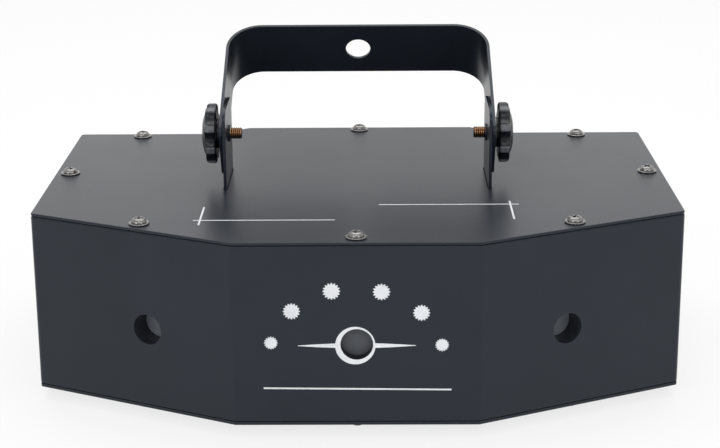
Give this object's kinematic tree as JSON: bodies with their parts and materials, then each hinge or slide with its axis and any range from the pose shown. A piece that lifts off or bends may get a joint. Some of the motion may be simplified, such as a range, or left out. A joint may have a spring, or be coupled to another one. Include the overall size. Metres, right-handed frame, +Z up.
{
  "type": "laser show projector",
  "caption": "Stage laser projector with a fan-shaped sheet-steel housing, apertures behind an angled front, a tilting U yoke with clamp knobs, and rear power and data panel.",
  "frame": {"origin": "under the middle of the object's box, on the plane that the feet stand on", "axes": "+X to the right seen from the front, +Y from the front to the back, +Z up"},
  "size_m": [0.31, 0.206, 0.1634],
  "materials": {
    "black_powder_coat": "satin black powder coat",
    "bright_screw": "nickel-plated",
    "black_screw": "black oxide",
    "yellow_zinc": "yellow passivated zinc",
    "zinc": "zinc-plated",
    "black_plastic": "moulded",
    "black_rubber": "matt",
    "smoked_glass": "polished",
    "display_red": "polished tinted acrylic",
    "aluminium": "milled",
    "motor_steel": "drawn can",
    "mirror": "front-silvered",
    "supply_steel": "galvanised sheet",
    "green_board": "solder mask",
    "grey_button": "moulded",
    "white_nylon": "moulded"
  },
  "bodies": {
    "housing": {"aperture_tube_centre": "black_plastic", "aperture_tube_left": "black_plastic", "aperture_tube_right": "black_plastic", "base_plate": "black_powder_coat", "base_screws": "black_screw", "board_standoffs": "white_nylon", "display_board": "green_board", "display_window": "display_red", "dmx_in": "black_plastic", "dmx_out": "black_plastic", "ear_left": "black_powder_coat", "ear_right": "black_powder_coat", "fan_frame": "black_plastic", "fan_guard": "zinc", "fan_screws": "black_screw", "front_shell": "black_powder_coat", "head_base_centre": "aluminium", "head_base_left": "aluminium", "head_base_right": "aluminium", "laser_module_centre": "aluminium", "laser_module_left": "aluminium", "laser_module_right": "aluminium", "lid": "black_powder_coat", "lid_screws": "bright_screw", "main_board": "green_board", "pan_motor_centre": "motor_steel", "pan_motor_left": "motor_steel", "pan_motor_right": "motor_steel", "power_inlet": "black_plastic", "power_supply": "supply_steel", "rear_panel": "black_powder_coat", "rocker_frame": "black_plastic", "rubber_feet": "black_rubber", "socket_screws": "black_screw", "tilt_motor_centre": "motor_steel", "tilt_motor_left": "motor_steel", "tilt_motor_right": "motor_steel", "window_centre": "smoked_glass", "window_left": "smoked_glass", "window_right": "smoked_glass"},
    "yoke": {"yoke": "black_powder_coat"},
    "rocker": {"rocker": "black_plastic"},
    "fan_rotor": {"fan_rotor": "black_plastic"},
    "left_washer": {"washer_left": "zinc"},
    "left_knob": {"knob_left": "black_plastic", "bolt_left": "yellow_zinc"},
    "right_washer": {"washer_right": "zinc"},
    "right_knob": {"knob_right": "black_plastic", "bolt_right": "yellow_zinc"},
    "button_menu": {"button_menu": "grey_button"},
    "button_down": {"button_down": "grey_button"},
    "button_up": {"button_up": "grey_button"},
    "button_enter": {"button_enter": "grey_button"},
    "pan_mirror_left": {"pan_mirror_left": "mirror"},
    "tilt_mirror_left": {"tilt_mirror_left": "mirror"},
    "pan_mirror_centre": {"pan_mirror_centre": "mirror"},
    "tilt_mirror_centre": {"tilt_mirror_centre": "mirror"},
    "pan_mirror_right": {"pan_mirror_right": "mirror"},
    "tilt_mirror_right": {"tilt_mirror_right": "mirror"}
  },
  "joints": [
    {"name": "yoke_tilt", "type": "hinge", "parent": "housing", "child": "yoke", "pos_m": [0, -0.002, 0.1185], "axis": [-1, 0, 0], "range_deg": [-155, 35]},
    {"name": "knob_left_travel", "type": "slide", "parent": "housing", "child": "left_washer", "axis": [-1, 0, 0], "range_m": [0, 0.002]},
    {"name": "knob_left_turn", "type": "hinge", "parent": "left_washer", "child": "left_knob", "pos_m": [0, -0.002, 0.1185], "axis": [-1, 0, 0], "range_deg": [0, 720]},
    {"name": "knob_right_travel", "type": "slide", "parent": "housing", "child": "right_washer", "axis": [1, 0, 0], "range_m": [0, 0.002]},
    {"name": "knob_right_turn", "type": "hinge", "parent": "right_washer", "child": "right_knob", "pos_m": [0, -0.002, 0.1185], "axis": [1, 0, 0], "range_deg": [0, 720]},
    {"name": "power_switch", "type": "hinge", "parent": "housing", "child": "rocker", "pos_m": [-0.116, 0.084, 0.069], "axis": [1, 0, 0], "range_deg": [-20, 0]},
    {"name": "button_menu_press", "type": "slide", "parent": "housing", "child": "button_menu", "axis": [0, -1, 0], "range_m": [0, 0.0008], "stiffness_N_per_m": 1500, "springref_m": -0.0003},
    {"name": "button_down_press", "type": "slide", "parent": "housing", "child": "button_down", "axis": [0, -1, 0], "range_m": [0, 0.0008], "stiffness_N_per_m": 1500, "springref_m": -0.0003},
    {"name": "button_up_press", "type": "slide", "parent": "housing", "child": "button_up", "axis": [0, -1, 0], "range_m": [0, 0.0008], "stiffness_N_per_m": 1500, "springref_m": -0.0003},
    {"name": "button_enter_press", "type": "slide", "parent": "housing", "child": "button_enter", "axis": [0, -1, 0], "range_m": [0, 0.0008], "stiffness_N_per_m": 1500, "springref_m": -0.0003},
    {"name": "fan_spin", "type": "hinge", "parent": "housing", "child": "fan_rotor", "pos_m": [0.036, 0.0933, 0.051], "axis": [0, 1, 0], "continuous": true},
    {"name": "pan_scan_left", "type": "hinge", "parent": "housing", "child": "pan_mirror_left", "pos_m": [-0.08455, -0.05494, 0.0318], "axis": [0.4147, 0.91, 0], "range_deg": [-15, 15]},
    {"name": "tilt_scan_left", "type": "hinge", "parent": "housing", "child": "tilt_mirror_left", "pos_m": [-0.08455, -0.05494, 0.0458], "axis": [0.91, -0.4147, 0], "range_deg": [-15, 15]},
    {"name": "pan_scan_centre", "type": "hinge", "parent": "housing", "child": "pan_mirror_centre", "pos_m": [0, -0.071, 0.0318], "axis": [0, 1, 0], "range_deg": [-15, 15]},
    {"name": "tilt_scan_centre", "type": "hinge", "parent": "housing", "child": "tilt_mirror_centre", "pos_m": [0, -0.071, 0.0458], "axis": [1, 0, 0], "range_deg": [-15, 15]},
    {"name": "pan_scan_right", "type": "hinge", "parent": "housing", "child": "pan_mirror_right", "pos_m": [0.08455, -0.05494, 0.0318], "axis": [-0.4147, 0.91, 0], "range_deg": [-15, 15]},
    {"name": "tilt_scan_right", "type": "hinge", "parent": "housing", "child": "tilt_mirror_right", "pos_m": [0.08455, -0.05494, 0.0458], "axis": [0.91, 0.4147, 0], "range_deg": [-15, 15]}
  ],
  "couplings": [
    {"joint": "knob_left_turn", "follows": "knob_left_travel", "rad_per_m": 6283.2},
    {"joint": "knob_right_turn", "follows": "knob_right_travel", "rad_per_m": 6283.2}
  ]
}
